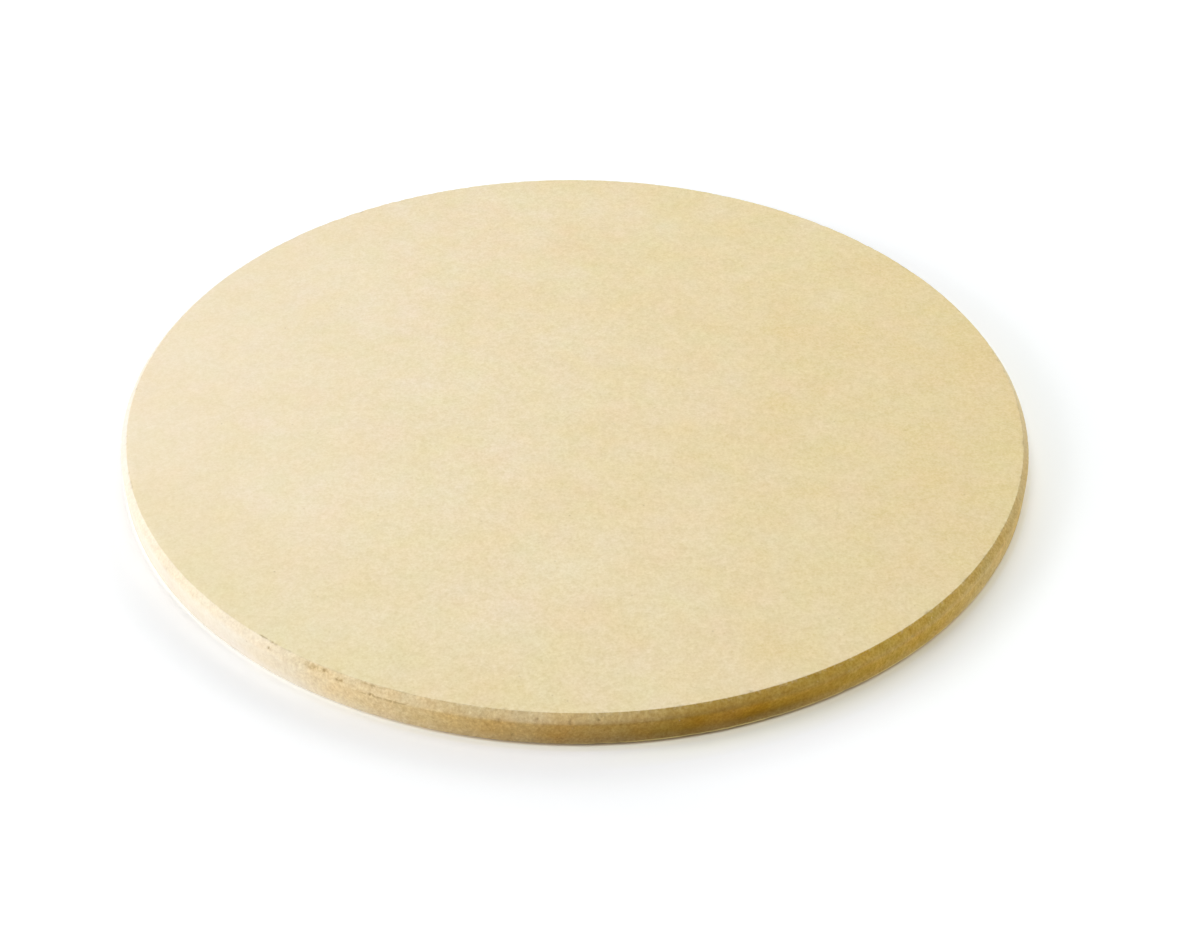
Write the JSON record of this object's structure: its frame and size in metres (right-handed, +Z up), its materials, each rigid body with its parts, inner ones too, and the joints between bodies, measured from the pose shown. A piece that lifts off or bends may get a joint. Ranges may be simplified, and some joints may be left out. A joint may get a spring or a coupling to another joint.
{
  "type": "pizza stone",
  "caption": "Round flat baking stone of unglazed fired ceramic, with a bevelled rim, for baking pizza and bread on an oven shelf or grill.",
  "frame": {"origin": "centre of the underside, on the surface that the stone lies on", "axes": "+Z up along the disc's axis, out of the baking face; the disc is round, so X and Y only fix the view: -Y faces the viewer of the picture and +X is the picture's right"},
  "size_m": [0.3599, 0.36, 0.013],
  "materials": {
    "fired_cordierite": "matte, unglazed, fine sandy grain, cream to light ochre"
  },
  "bodies": {
    "root": {"baking_stone": "fired_cordierite"}
  },
  "joints": []
}
